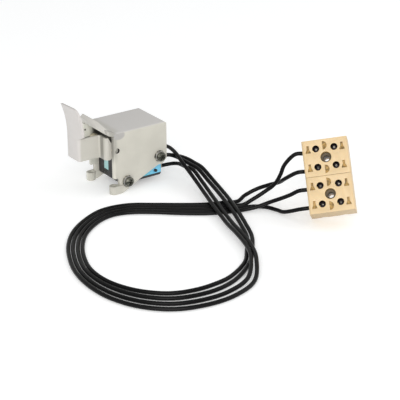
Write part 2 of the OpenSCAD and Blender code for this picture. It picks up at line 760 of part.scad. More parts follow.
STARTS = [
    [[35.5, 6.7, 13], [38.8, 6.6, 13.1], [43, 4.4, 13.9], [45.1, -0.8, 14.8],
     [44.3, -8, 15], [42.5, -15.5, 14.6], [40.6, -23, 13.2]],
    [[35.5, -6.9, 6.4], [39.3, -7.1, 6.5], [42.8, -9.8, 7.4], [44, -13.8, 8.4],
     [43.4, -18.6, 9.3], [42.5, -24, 10.1]],
    [[35.5, -6.9, 13], [38.6, -7.1, 13], [42, -9, 12.7], [44, -13, 12.2],
     [44.8, -18, 11.7], [45.4, -24.5, 11.2]],
    [[35.5, 6.7, 6.4], [39, 6.5, 6.6], [44, 4.5, 7.4], [47.6, -1, 8.8],
     [49, -8, 10], [49.7, -15.5, 10.6], [49.6, -23.5, 10.6]]];

ENDS = [
    [[48, -71, 1.6], [54, -73, 4.2], [60.5, -75.5, 8.2], [64.8, -79, 13],
     [66.3, -82.2, 19.5], [67.4, -84.3, 26]],
    [[49, -65.5, 1.6], [55, -64.5, 3.4], [61.5, -67, 6.6], [66.4, -72.5, 10],
     [68.3, -79, 13.4], [67.2, -85.6, 18.2]],
    [[46.5, -77, 1.6], [52.5, -80.3, 3], [58, -84, 5.6], [61.8, -89.5, 9], [63.6, -95, 12.6]],
    [[47.5, -73.7, 1.3], [53.5, -76.2, 1.3], [58.2, -81, 1.3], [59.8, -88, 1.8],
     [59.8, -95, 3.2]]];

// left of travel at row k of the loop
function loop_left(k) =
    let (a = LOOP[max(k - 1, 0)][0], b = LOOP[min(k + 1, len(LOOP) - 1)][0], d = unit([b.x - a.x, b.y - a.y]))
    [-d.y, d.x, 0];
function loop_point(k, w) =
    LOOP[k][0] + loop_left(k) * LOOP[k][1][w] + [0, 0, LOOP[k][2][w]];

// a point of the terminal blocks in the row's axes
function turn_y(p, a) = [p.x * cos(a) + p.z * sin(a), p.y, p.z * cos(a) - p.x * sin(a)];
function turn_x(p, a) = [p.x, p.y * cos(a) - p.z * sin(a), p.y * sin(a) + p.z * cos(a)];
function turn_z(p, a) = [p.x * cos(a) - p.y * sin(a), p.x * sin(a) + p.y * cos(a), p.z];
function on_block(p) = block_corner
    + turn_z(turn_x(turn_y(p - [0, strip_t, 0], -block_roll), -block_lean), block_turn);

function route(w) = concat(
    STARTS[w],
    [for (k = [0 : len(LOOP) - 1]) loop_point(k, w)],
    ENDS[w],
    [for (x = [-5, 0.5, 5.5]) on_block([x, tube_y, pole_z(w + 1)])]);

// one smooth curve through the route's points, with two rings to a span
function curve_point(a, b, c, d, t) =
    0.5 * (2 * b + (c - a) * t + (2 * a - 5 * b + 4 * c - d) * t * t + (3 * b - a - 3 * c + d) * t * t * t);
function smooth(p, n) = let (last = len(p) - 1) concat(
    [for (i = [0 : last - 1], k = [0 : n - 1])
        curve_point(p[max(i - 1, 0)], p[i], p[i + 1], p[min(i + 2, last)], k / n)],
    [p[last]]);

module wire(w) {
    color(black) swept_tube(smooth(route(w), 2), wire_d, [0, 0.001, 1]);
}

module wire_1() { wire(0); }
module wire_2() { wire(1); }
module wire_3() { wire(2); }
module wire_4() { wire(3); }

housing();
lever();
pivot_pin();
pivot_bush();
return_spring();
retaining_clip();
near_case_half();
near_case_cover();
near_plunger();
near_com_tab();
near_nc_tab();
near_no_tab();
far_case_half();
far_case_cover();
far_plunger();
far_com_tab();
far_nc_tab();
far_no_tab();
switch_spacer();
front_screw();
rear_screw();
flat_washers();
spring_washers();
nuts();
upper_block();
lower_block();
clamp_tube_1();
clamp_tube_2();
clamp_tube_3();
clamp_tube_4();
upper_clamp_screws();
lower_clamp_screws();
wire_1();
wire_2();
wire_3();
wire_4();
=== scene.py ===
"""Twin microswitch unit: the looks of the housing, lever, switches, screws, terminal blocks
and leads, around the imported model. All lengths are in metres, +Z up, +X to the rear.
"""

import json
import math

import bpy
from bpy.props import FloatProperty, FloatVectorProperty, PointerProperty
from bpy.types import Operator, Panel, PropertyGroup
from mathutils import Matrix, Vector


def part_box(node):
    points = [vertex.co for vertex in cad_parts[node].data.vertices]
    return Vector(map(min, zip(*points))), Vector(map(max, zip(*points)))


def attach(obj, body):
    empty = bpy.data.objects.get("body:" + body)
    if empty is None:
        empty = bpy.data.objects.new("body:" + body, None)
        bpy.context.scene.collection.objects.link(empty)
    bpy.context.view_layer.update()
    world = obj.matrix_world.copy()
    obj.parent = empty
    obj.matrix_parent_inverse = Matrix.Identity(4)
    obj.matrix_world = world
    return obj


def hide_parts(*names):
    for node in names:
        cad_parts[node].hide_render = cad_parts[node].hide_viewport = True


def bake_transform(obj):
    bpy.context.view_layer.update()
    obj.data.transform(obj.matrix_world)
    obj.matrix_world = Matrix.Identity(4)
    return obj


bl_info = {
    "name": "Twin microswitch unit",
    "version": (1, 0, 0),
    "blender": (4, 5, 0),
    "location": "View3D > Sidebar > Microswitch",
    "description": "Builds the housing, lever, switches, screws, terminal blocks and leads",
    "category": "Add Mesh",
}

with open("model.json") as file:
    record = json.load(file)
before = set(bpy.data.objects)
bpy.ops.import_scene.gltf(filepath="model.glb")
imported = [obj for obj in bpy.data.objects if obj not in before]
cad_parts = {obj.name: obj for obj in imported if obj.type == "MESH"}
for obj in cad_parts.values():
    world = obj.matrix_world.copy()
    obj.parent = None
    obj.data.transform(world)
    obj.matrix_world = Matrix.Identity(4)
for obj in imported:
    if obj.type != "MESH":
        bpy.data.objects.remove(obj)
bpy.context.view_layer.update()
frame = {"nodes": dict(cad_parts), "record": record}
NODES = frame["nodes"]
MM = 0.001


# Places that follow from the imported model
def middle(node):
    """Centre of a CAD node's box."""
    low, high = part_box(node)
    return (Vector(low) + Vector(high)) / 2


# Terminal blocks: own axes are x along the wires, y from the face to the base, z up the row
BLOCK_CORNER = Vector((70.5, -106, 0)) * MM
BLOCK_TURN = Matrix.Rotation(math.radians(-47), 3, "Z")
BLOCK_LEAN = Matrix.Rotation(math.radians(-33.5), 3, "X")
BLOCK_ROLL = Matrix.Rotation(math.radians(-12.5), 3, "Y")
BLOCK_AXES = BLOCK_TURN @ BLOCK_LEAN @ BLOCK_ROLL
STRIP_WIDTH = 25 * MM
STRIP_DEPTH = 15 * MM
POLE_PITCH = 10.25 * MM
CHANNEL_DEPTH = 7.5 * MM
CLAMP_GAP = 10 * MM


def on_block(x, y, z):
    """A point of the terminal blocks, from their own axes to the part's."""
    return BLOCK_CORNER + BLOCK_AXES @ Vector((x, y - STRIP_DEPTH, z))


def pole_height(pole):
    """Height of a pole, 1 to 4 from the top, along the row of blocks."""
    return 4 * POLE_PITCH - (pole - 0.5) * POLE_PITCH


# Leads: the route of each, in millimetres, as in the part's source
LOOP = [
    [(44.5, -31, 10.5), (-4.6, -1.6, 1.6, 4.6), (0, 0, 0, 0)],
    [(43.5, -42, 7), (-5, -1.8, 2, 5), (0, 0, 0, 0)],
    [(41, -54, 5), (-5.4, -2.2, 2.4, 5.4), (0, 0, 0, 0)],
    [(37.5, -66, 4.2), (-5.6, -2.4, 2.6, 5.6), (0, 0, 0, 0)],
    [(33, -79, 4), (-5.4, -2.4, 2.6, 5.4), (0, 0, 0, 0)],
    [(28.5, -92, 3), (-4.8, -1.8, 2.4, 5.2), (0.6, 0.6, 0, 0)],
    [(23.5, -105, 1.8), (-3.4, -0.6, 2, 4.8), (2.2, 2.2, 0, 0)],
    [(17, -119, 1.3), (-1.3, 1.3, -1.3, 1.6), (2.5, 2.5, 0, 0)],
    [(8, -131, 1.3), (0.8, 3.6, -2.6, 0), (2.5, 2.4, 0, 0)],
    [(-5.5, -142.5, 1.3), (3.2, 7, -6, -2.2), (0.9, 0.3, 0, 0)],
    [(-19.5, -147, 1.3), (3, 8, -7.6, -2.4), (0, 0, 0, 0)],
    [(-33.5, -147, 1.3), (2.8, 8.2, -8.2, -2.8), (0, 0, 0, 0)],
    [(-47, -142.5, 1.3), (2.8, 8.2, -8.2, -2.8), (0, 0, 0, 0)],
    [(-57.5, -133, 1.3), (2.6, 7.6, -7.6, -2.6), (0, 0, 0, 0)],
    [(-64.5, -120, 1.3), (2.2, 6.4, -6.4, -2.2), (0, 0, 0, 0)],
    [(-67.5, -105, 1.3), (1.8, 5, -5, -1.8), (0, 0, 0, 0)],
    [(-66.5, -89.5, 1.3), (1.4, 4.1, -4.1, -1.4), (0, 0, 0, 0)],
    [(-61.5, -74.5, 1.3), (1.3, 3.8, -3.8, -1.3), (0, 0, 0, 0)],
    [(-54, -60.5, 1.3), (1.3, 3.8, -3.8, -1.3), (0, 0, 0, 0)],
    [(-44, -48.5, 1.3), (1.3, 3.8, -3.8, -1.3), (0, 0, 0, 0)],
    [(-31, -39.5, 1.3), (1.3, 3.9, -3.9, -1.3), (0, 0, 0, 0)],
    [(-18.5, -35.5, 1.3), (1.5, 4.5, -4.5, -1.5), (0, 0, 0, 0)],
    [(-6, -38, 1.3), (1.7, 5, -5, -1.7), (0, 0, 0, 0)],
    [(6, -46, 1.3), (1.7, 5, -5, -1.7), (0, 0, 0, 0)],
    [(17.5, -55, 1.3), (1.9, 5.6, -5.6, -1.9), (0, 0, 0, 0)],
    [(29, -63, 1.3), (2, 6, -6, -2), (0, 0, 0, 0)],
    [(39, -67.5, 1.3), (2.2, 6.4, -6.4, -2.4), (0, 0, 0, 0)],
]
STARTS = [
    [(35.5, 6.7, 13), (38.8, 6.6, 13.1), (43, 4.4, 13.9), (45.1, -0.8, 14.8),
     (44.3, -8, 15), (42.5, -15.5, 14.6), (40.6, -23, 13.2)],
    [(35.5, -6.9, 6.4), (39.3, -7.1, 6.5), (42.8, -9.8, 7.4), (44, -13.8, 8.4),
     (43.4, -18.6, 9.3), (42.5, -24, 10.1)],
    [(35.5, -6.9, 13), (38.6, -7.1, 13), (42, -9, 12.7), (44, -13, 12.2),
     (44.8, -18, 11.7), (45.4, -24.5, 11.2)],
    [(35.5, 6.7, 6.4), (39, 6.5, 6.6), (44, 4.5, 7.4), (47.6, -1, 8.8),
     (49, -8, 10), (49.7, -15.5, 10.6), (49.6, -23.5, 10.6)],
]
ENDS = [
    [(48, -71, 1.6), (54, -73, 4.2), (60.5, -75.5, 8.2), (64.8, -79, 13),
     (66.3, -82.2, 19.5), (67.4, -84.3, 26)],
    [(49, -65.5, 1.6), (55, -64.5, 3.4), (61.5, -67, 6.6), (66.4, -72.5, 10),
     (68.3, -79, 13.4), (67.2, -85.6, 18.2)],
    [(46.5, -77, 1.6), (52.5, -80.3, 3), (58, -84, 5.6), (61.8, -89.5, 9), (63.6, -95, 12.6)],
    [(47.5, -73.7, 1.3), (53.5, -76.2, 1.3), (58.2, -81, 1.3), (59.8, -88, 1.8),
     (59.8, -95, 3.2)],
]
ENTRY_STEPS = (-5 * MM, 0.5 * MM, 5.5 * MM)
SPANS = 6


def loop_point(row, lead):
    """Where a lead runs at one row of the loop, in millimetres."""
    before = Vector(LOOP[max(row - 1, 0)][0])
    after = Vector(LOOP[min(row + 1, len(LOOP) - 1)][0])
    heading = (after - before).to_2d().normalized()
    centre, offsets, lifts = LOOP[row]
    left = Vector((-heading.y, heading.x, 0))
    return Vector(centre) + left * offsets[lead] + Vector((0, 0, lifts[lead]))


def route(lead):
    """The chosen points of a lead, 0 to 3, in metres."""
    free = [Vector(p) for p in STARTS[lead]]
    free += [loop_point(row, lead) for row in range(len(LOOP))]
    free += [Vector(p) for p in ENDS[lead]]
    into_block = [on_block(x, CHANNEL_DEPTH, pole_height(lead + 1)) for x in ENTRY_STEPS]
    return [p * MM for p in free] + into_block


def smooth_line(points, steps):
    """One smooth curve through points, with steps to each span."""
    last = len(points) - 1
    line = []
    for i in range(last):
        a, b = points[max(i - 1, 0)], points[i]
        c, d = points[i + 1], points[min(i + 2, last)]
        for k in range(steps):
            t = k / steps
            curve = 2 * b + (c - a) * t + (2 * a - 5 * b + 4 * c - d) * t * t
            line.append(0.5 * (curve + (3 * b - a - 3 * c + d) * t ** 3))
    return line + [points[last]]


def line_length(points):
    """Length of a polyline."""
    return sum((b - a).length for a, b in zip(points, points[1:]))


# Bodies, finishes and nodes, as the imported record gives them
SLOT_OF = {part["node"]: part["material_slot"] for part in frame["record"]["subparts"]}
BODY_OF = {}
for body_name, members in frame["record"]["behaviour"]["bodies"].items():
    for member in members:
        BODY_OF[member] = body_name

PIVOT = middle("pivot_pin")
PIN_END = Vector((PIVOT.x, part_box("pivot_pin")[0][1], PIVOT.z))
ROOF = Vector((0, 0, 37 * MM))
FRONT = Vector((-0.4 * MM, 0, 0))
CASE_FOOT = Vector(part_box("near_case_half")[0])
HEADS_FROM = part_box("spring_washers")[0].y
SCREWS = ("front_screw", "rear_screw")
TABS = ("near_com_tab", "near_nc_tab", "far_com_tab", "far_nc_tab")


# Settings that a user would change
class MicroswitchSizes(PropertyGroup):
    """Roundings and grain of the pieces."""

    housing_edge: FloatProperty(
        name="Housing edges", description="Rounding of the moulded housing's edges",
        default=0.4 * MM, min=0.05 * MM, max=0.6 * MM, unit="LENGTH", precision=5)
    sheet_edge: FloatProperty(
        name="Sheet edges", description="Rounding of the folded lever's edges",
        default=0.28 * MM, min=0.05 * MM, max=0.5 * MM, unit="LENGTH", precision=5)
    case_edge: FloatProperty(
        name="Case edges", description="Rounding of the switch cases' edges",
        default=0.25 * MM, min=0.05 * MM, max=0.4 * MM, unit="LENGTH", precision=5)
    block_edge: FloatProperty(
        name="Block edges", description="Rounding of the terminal blocks' edges",
        default=0.22 * MM, min=0.05 * MM, max=0.4 * MM, unit="LENGTH", precision=5)
    metal_edge: FloatProperty(
        name="Metal edges", description="Rounding of washers, nuts, pins and tabs",
        default=0.12 * MM, min=0.03 * MM, max=0.25 * MM, unit="LENGTH", precision=5)
    wire_diameter: FloatProperty(
        name="Wire diameter", description="Outside diameter of a lead",
        default=2.3 * MM, min=1.8 * MM, max=2.3 * MM, unit="LENGTH", precision=5)
    grain: FloatProperty(
        name="Moulding grain", description="Size of the grain on moulded pieces",
        default=0.35 * MM, min=0.1 * MM, max=1 * MM, unit="LENGTH", precision=5)


class MicroswitchColours(PropertyGroup):
    """Base colours of the finishes."""

    housing: FloatVectorProperty(
        name="Housing", description="Grey moulding of the housing",
        subtype="COLOR", size=4, default=(0.545, 0.53, 0.47, 1), min=0, max=1)
    # The roof's cooler grey is painted light, for how the light falls on the housing's top.
    roof: FloatVectorProperty(
        name="Roof", description="Cooler grey of the housing's roof",
        subtype="COLOR", size=4, default=(0.585, 0.57, 0.55, 1), min=0, max=1)
    lever: FloatVectorProperty(
        name="Lever", description="Paint on the folded lever",
        subtype="COLOR", size=4, default=(0.52, 0.505, 0.455, 1), min=0, max=1)
    # The plate's paler tone is painted light on the lever's one paint.
    plate: FloatVectorProperty(
        name="Lever plate", description="Paint on the lever's front plate and tongue",
        subtype="COLOR", size=4, default=(0.575, 0.55, 0.53, 1), min=0, max=1)
    case: FloatVectorProperty(
        name="Case halves", description="Blue moulding of the switches",
        subtype="COLOR", size=4, default=(0.16, 0.51, 0.73, 1), min=0, max=1)
    block: FloatVectorProperty(
        name="Terminal blocks", description="Beige moulding of the blocks",
        subtype="COLOR", size=4, default=(0.68, 0.51, 0.29, 1), min=0, max=1)
    # The recesses' golden tone is painted shade.
    recess: FloatVectorProperty(
        name="Recesses", description="Golden tone down in the blocks' recesses",
        subtype="COLOR", size=4, default=(0.58, 0.37, 0.10, 1), min=0, max=1)
    sleeve: FloatVectorProperty(
        name="Pivot sleeve", description="Cream sleeve on the pivot pin",
        subtype="COLOR", size=4, default=(0.78, 0.72, 0.56, 1), min=0, max=1)
    insulation: FloatVectorProperty(
        name="Insulation", description="Black insulation of the leads",
        subtype="COLOR", size=4, default=(0.0035, 0.0035, 0.0038, 1), min=0, max=1)


class MicroswitchStage(PropertyGroup):
    """Camera and light."""

    aim: FloatVectorProperty(
        name="Aim", description="Point that the camera looks at",
        subtype="TRANSLATION", unit="LENGTH", size=3, default=(0.03498, -0.04885, 0))
    azimuth: FloatProperty(
        name="Azimuth", description="Turn of the camera about the vertical",
        subtype="ANGLE", default=math.radians(-35.32))
    elevation: FloatProperty(
        name="Elevation", description="Angle of the camera over the floor",
        subtype="ANGLE", default=math.radians(24.1), min=0, max=math.radians(89))
    distance: FloatProperty(
        name="Distance", description="Camera to aim",
        default=0.79738, min=0.2, max=3, unit="LENGTH")
    lens: FloatProperty(
        name="Lens", description="Focal length, in millimetres",
        default=126, min=35, max=250)
    key_power: FloatProperty(
        name="Key light", description="Power of the softbox at the front, in watts",
        default=9, min=0, max=60)
    fill_power: FloatProperty(
        name="Fill light", description="Power of the softbox at the right, in watts",
        default=2.5, min=0, max=60)
    sky: FloatProperty(
        name="Sky", description="Strength of the white surroundings",
        default=0.62, min=0, max=3)


# Shader maths
class Socket:
    """One output of a shader node. Arithmetic on it adds Math nodes."""

    def __init__(self, finish, link):
        self.finish = finish
        self.link = link

    def math(self, operation, *values):
        return self.finish.node("ShaderNodeMath", {"operation": operation}, values)

    def __add__(self, other):
        return self.math("ADD", self, other)

    def __sub__(self, other):
        return self.math("SUBTRACT", self, other)

    def __rsub__(self, other):
        return self.math("SUBTRACT", other, self)

    def __mul__(self, other):
        return self.math("MULTIPLY", self, other)

    def __truediv__(self, other):
        return self.math("DIVIDE", self, other)

    def __pow__(self, other):
        return self.math("POWER", self, other)

    __radd__ = __add__
    __rmul__ = __mul__

    def most(self, other):
        return self.math("MAXIMUM", self, other)

    def size(self):
        return self.math("ABSOLUTE", self)

    def wrap(self, period):
        return self.math("WRAP", self, period, 0.0)

    def ramp(self, low, high):
        """0 where this is below low, 1 where it is above high, smooth between."""
        settings = {"interpolation_type": "SMOOTHSTEP"}
        values = {"Value": self, "From Min": low, "From Max": high}
        return self.finish.node("ShaderNodeMapRange", settings, values)


class Finish:
    """One material. Its nodes all come from node()."""

    def __init__(self, name):
        self.material = bpy.data.materials.new(name + "_finish")
        self.material.use_nodes = True
        self.tree = self.material.node_tree
        self.tree.nodes.clear()
        self.place = self.node("ShaderNodeTexCoord", output="Object")

    def node(self, kind, settings=None, sockets=None, output=0):
        """Adds a node: its settings first, then the values or links of its sockets."""
        made = self.tree.nodes.new(kind)
        for key, value in (settings or {}).items():
            setattr(made, key, value)
        given = sockets or {}
        pairs = given.items() if isinstance(given, dict) else enumerate(given)
        for key, value in pairs:
            if isinstance(value, Socket):
                self.tree.links.new(value.link, made.inputs[key])
            else:
                made.inputs[key].default_value = value
        return Socket(self, made.outputs[output])

    def noise(self, size, detail=2.0, place=None):
        """Cloudy noise whose features are about as long as size, in metres."""
        sockets = {"Vector": place or self.place, "Scale": 1 / size, "Detail": detail}
        return self.node("ShaderNodeTexNoise", None, sockets, "Fac")

    def cells(self, size):
        """Distance to the nearest of many scattered points, size metres apart."""
        return self.node("ShaderNodeTexVoronoi", None, {"Vector": self.place, "Scale": 1 / size}, "Distance")

    def along(self, direction, start=(0, 0, 0)):
        """How far a point lies from start, along a direction."""
        settings = {"operation": "SUBTRACT"}
        offset = self.node("ShaderNodeVectorMath", settings, [self.place, tuple(start)])
        return self.node("ShaderNodeVectorMath", {"operation": "DOT_PRODUCT"}, [offset, tuple(direction)], "Value")

    def reach(self, across, centre):
        """How far a point lies from centre, with only the directions in across counted."""
        settings = {"operation": "SUBTRACT"}
        offset = self.node("ShaderNodeVectorMath", settings, [self.place, tuple(centre)])
        flat = self.node("ShaderNodeVectorMath", {"operation": "MULTIPLY"}, [offset, across])
        return self.node("ShaderNodeVectorMath", {"operation": "LENGTH"}, [flat], "Value")

    def inside(self, across, centre, radius):
        """1 within a radius of centre and 0 beyond, with a soft edge."""
        return 1 - self.reach(across, centre).ramp(radius * 0.92, radius)

    def on_blocks(self):
        """Distances on the terminal blocks: from their middle line, below their face, above
        their lower end, and from the axis of the nearest screw well.
        """
        corner = on_block(0, 0, 0)
        across, depth, up = (self.along(BLOCK_AXES @ Vector(axis), corner)
                             for axis in ((1, 0, 0), (0, 1, 0), (0, 0, 1)))
        off_middle = (across - STRIP_WIDTH / 2).size()
        off_pole = up.wrap(POLE_PITCH) - POLE_PITCH / 2
        from_well = (off_pole ** 2 + (off_middle - CLAMP_GAP / 2) ** 2) ** 0.5
        return off_middle, depth, up, from_well

    def mix(self, share, first, second):
        """A colour between two others."""
        return self.node("ShaderNodeMix", {"data_type": "RGBA"}, {0: share, 6: first, 7: second}, 2)

    def bump(self, height, depth, strength=1.0, normal=None):
        """A normal bent by a height from 0 to 1, which stands for depth metres."""
        sockets = {"Height": height, "Distance": depth, "Strength": strength}
        if normal:
            sockets["Normal"] = normal
        return self.node("ShaderNodeBump", None, sockets)

    def surface(self, **values):
        """The shader itself. Underscores in the names stand for spaces."""
        sockets = {key.replace("_", " "): value for key, value in values.items()}
        shader = self.node("ShaderNodeBsdfPrincipled", None, sockets)
        output = self.tree.nodes.new("ShaderNodeOutputMaterial")
        self.tree.links.new(shader.link, output.inputs["Surface"])
        return self.material


def shade(colour, factor):
    """A colour made lighter or darker."""
    return tuple(min(1, c * factor) for c in colour[:3]) + (1,)


# Finishes, one for each material slot of the record
def grey_moulding(sizes, colours):
    """Grey glass-filled plastic with fine grain and flow marks, and with light and shade painted in: a
    cooler grey on the roof for how the light falls on the top, a painted highlight on the lip's front,
    painted shade at the front, at the near wall's upper front corner and along its edge, a painted
    glint low on that edge, a painted bright far wall with a dot of painted shade for a hole, and
    painted shade inside under the roof and where the lever shades the far wall.
    """
    finish = Finish("grey_moulding")
    cloud = finish.noise(11 * MM, 3).ramp(0.32, 0.68)
    grain = finish.noise(sizes.grain, 3)
    specks = finish.cells(1.3 * MM).ramp(0.02, 0.09)
    body = finish.mix(cloud, shade(colours.housing, 0.97), shade(colours.housing, 1.03))
    # Painted light: the roof gets a cooler grey for how the light falls on the top, and the lip's front a painted
    # highlight.
    roof = finish.along((0, 0, 1), ROOF).ramp(-0.5 * MM, -0.1 * MM)
    length = finish.along((1, 0, 0), FRONT)
    width = finish.along((0, 1, 0))
    lip = finish.mix(1 - length.ramp(-3 * MM, -2.6 * MM), colours.roof, shade(colours.roof, 1.7))
    lit_roof = finish.mix(roof, body, lip)
    near = 1 - width.ramp(-12.2 * MM, -11.8 * MM)
    far = width.ramp(11.6 * MM, 11.9 * MM) * (1 - width.ramp(13.7 * MM, 14.1 * MM)) \
        * (1 - length.ramp(2 * MM, 6 * MM))
    height = finish.along((0, 0, 1))
    below_lip = 1 - finish.along((0, 0, 1), ROOF).ramp(-1.4 * MM, -0.6 * MM)
    wall = near * height.ramp(6 * MM, 7 * MM)
    upper = wall * height.ramp(17 * MM, 26 * MM)
    # Painted shade: the first few millimetres at the front, away from the near wall, are darker.
    front_shade = (1 - length.ramp(3 * MM, 7 * MM)) * (1 - wall) * 0.6
    front_shaded = finish.mix(front_shade, lit_roof, shade(colours.housing, 0.86))
    # Painted shade at the near wall's upper front corner: a darker strip along its rounding, and a roof-grey patch
    # where the top's shade runs onto the wall.
    from_patch = (((length - 3.4 * MM) / 4.4) ** 2 + ((height - 35.6 * MM) / 2.9) ** 2) ** 0.5
    corner = upper * (1 - length.ramp(0.2 * MM, 3.2 * MM))
    corner_patch = upper * (1 - roof) * (1 - from_patch.ramp(0.75 * MM, 1.05 * MM))
    corner_shaded = finish.mix(corner * 0.8, front_shaded, shade(colours.housing, 0.6))
    patch_shaded = finish.mix(corner_patch, corner_shaded, shade(colours.roof, 0.69))
    glint = (wall - upper) * (1 - length.ramp(0.5 * MM, 1.1 * MM)) * 0.45
    glinting = finish.mix(glint, patch_shaded, shade(colours.housing, 1.3))
    # Painted shade along the near wall's upper front edge.
    edge = upper * below_lip * (1 - length.ramp(0.1 * MM, 0.4 * MM))
    edged = finish.mix(edge, glinting, shade(colours.housing, 0.5))
    lit = far * below_lip * (0.3 + 0.7 * height.ramp(15 * MM, 22 * MM))
    bright = finish.mix(lit, edged, shade(colours.housing, 1.95))
    # A small dot of painted shade on the far wall stands for a hole.
    hole = finish.inside((1, 0, 1), FRONT + Vector((-2.9, 0, 32.2)) * MM, 0.6 * MM) * far
    # Painted shade inside the housing under the roof, and a band of painted shadow where the lever shades the far
    # wall.
    inside = (1 - width.size().ramp(12.3 * MM, 12.8 * MM)) * below_lip
    gloom = inside * length.ramp(0.6 * MM, 3.5 * MM) * (1 - length.ramp(24 * MM, 27 * MM)) \
        * height.ramp(22 * MM, 28 * MM)
    band = far * (1 - (height - 27 * MM).size().ramp(0.4 * MM, 1.1 * MM))
    shaded = finish.mix(gloom.most(band * 0.8), bright, shade(colours.housing, 0.16))
    hole_shaded = finish.mix(hole, shaded, shade(colours.housing, 0.12))
    tone = finish.mix(specks, shade(colours.housing, 0.84), hole_shaded)
    return finish.surface(
        Base_Color=tone, Roughness=0.4 + grain * 0.16, Specular_IOR_Level=0.42,
        Normal=finish.bump(grain, 0.03 * MM, 0.35))


def painted_sheet(sizes, colours):
    """Thin pale paint on folded sheet: a soft ripple, with duller patches, painted light that makes the front
    plate paler, and painted shade in one bend.
    """
    finish = Finish("painted_sheet")
    ripple = finish.noise(1.6 * MM, 2)
    cloud = finish.noise(14 * MM, 3).ramp(0.3, 0.7)
    body = finish.mix(cloud, shade(colours.lever, 0.975), shade(colours.lever, 1.025))
    # Painted light: the front plate and tongue get a paler tone of the same paint.
    plate = 1 - finish.along((1, 0, 0)).ramp(-17 * MM, -15.8 * MM)
    faced = finish.mix(plate, body, colours.plate)
    width = finish.along((0, 1, 0))
    # Painted shade in the lever's inner bend.
    bend = finish.along((1, 0, 0)).ramp(-4.6 * MM, -4.2 * MM) * width.ramp(-9.4 * MM, -8.6 * MM) \
        * (1 - width.ramp(-6.2 * MM, -5.4 * MM))
    tone = finish.mix(bend * 0.9, faced, shade(colours.lever, 0.48))
    return finish.surface(
        Base_Color=tone, Roughness=0.34 + cloud * 0.1, Specular_IOR_Level=0.5,
        Coat_Weight=0.12, Coat_Roughness=0.2, Normal=finish.bump(ripple, 0.03 * MM, 0.3))


def steel(sizes, colours):
    """Steel with zinc plating, mottled and scratched. Painted shade makes it darker on the screws' heads
    and down in the terminal blocks' wells, where a small painted glint is left near each well's
    middle. The pivot pin's end is pale grey, with a crescent of painted shade where it sits sunk.
    """
    finish = Finish("steel")
    cloud = finish.noise(1.3 * MM, 3)
    scratches = finish.noise(0.2 * MM, 2)
    bright = finish.mix(cloud.ramp(0.4, 0.62), (0.10, 0.10, 0.085, 1), (0.52, 0.50, 0.43, 1))
    sunk = finish.along((1, 0, 0)).ramp(48 * MM, 52 * MM)
    # Painted shade: the screws' heads are darker.
    head = (1 - sunk) * (1 - finish.along((0, 1, 0)).ramp(HEADS_FROM - 0.3 * MM, HEADS_FROM))
    plated_and_head_shade = finish.mix(head * 0.72, bright, (0.045, 0.05, 0.04, 1))
    level = finish.along((0, 1, 0), PIN_END)
    around = finish.reach((1, 0, 1), PIN_END + Vector((-0.9, 0, 0.3)) * MM)
    # The pin's end face is given a pale grey, with a crescent of painted shade on it where it sits sunk.
    pin = (1 - level.size().ramp(0.2 * MM, 0.3 * MM)) * finish.inside((1, 0, 1), PIN_END, 1.7 * MM)
    pin_end_pale = finish.mix(pin, plated_and_head_shade, shade(colours.housing, 0.9))
    # Painted shade: clamp screws down in the blocks' wells are dark, except for a small painted glint near each
    # well's middle.
    well_shade = sunk * finish.on_blocks()[3].ramp(0.3 * MM, 0.7 * MM)
    shadow = pin * around.ramp(1.2 * MM, 1.5 * MM)
    tone = finish.mix(well_shade.most(shadow), pin_end_pale, (0.018, 0.014, 0.016, 1))
    return finish.surface(
        Base_Color=tone, Metallic=1.0, Roughness=0.24 + cloud * 0.25,
        Normal=finish.bump(scratches, 0.01 * MM, 0.4))


def spring_steel(sizes, colours):
    """Bright hard steel with fine drawing marks."""
    finish = Finish("spring_steel")
    marks = finish.noise(0.3 * MM, 2)
    tone = finish.mix(marks, (0.42, 0.42, 0.43, 1), (0.60, 0.60, 0.60, 1))
    return finish.surface(
        Base_Color=tone, Metallic=1.0, Roughness=0.24 + marks * 0.14,
        Normal=finish.bump(marks, 0.008 * MM, 0.4))


def cream_sleeve(sizes, colours):
    """Turned cream plastic with faint tool rings and cloudy darker patches."""
    finish = Finish("cream_sleeve")
    cloud = finish.noise(2.5 * MM, 3).ramp(0.3, 0.75)
    rings = finish.node(
        "ShaderNodeTexWave", {"bands_direction": "Y"},
        {"Vector": finish.place, "Scale": 1 / (3.2 * MM), "Distortion": 0.6}, "Fac")
    tone = finish.mix(cloud, shade(colours.sleeve, 0.88), colours.sleeve)
    return finish.surface(
        Base_Color=tone, Roughness=0.32 + cloud * 0.12, Subsurface_Weight=0.06,
        Subsurface_Radius=(1 * MM, 0.7 * MM, 0.4 * MM),
        Normal=finish.bump(rings, 0.008 * MM, 0.3))


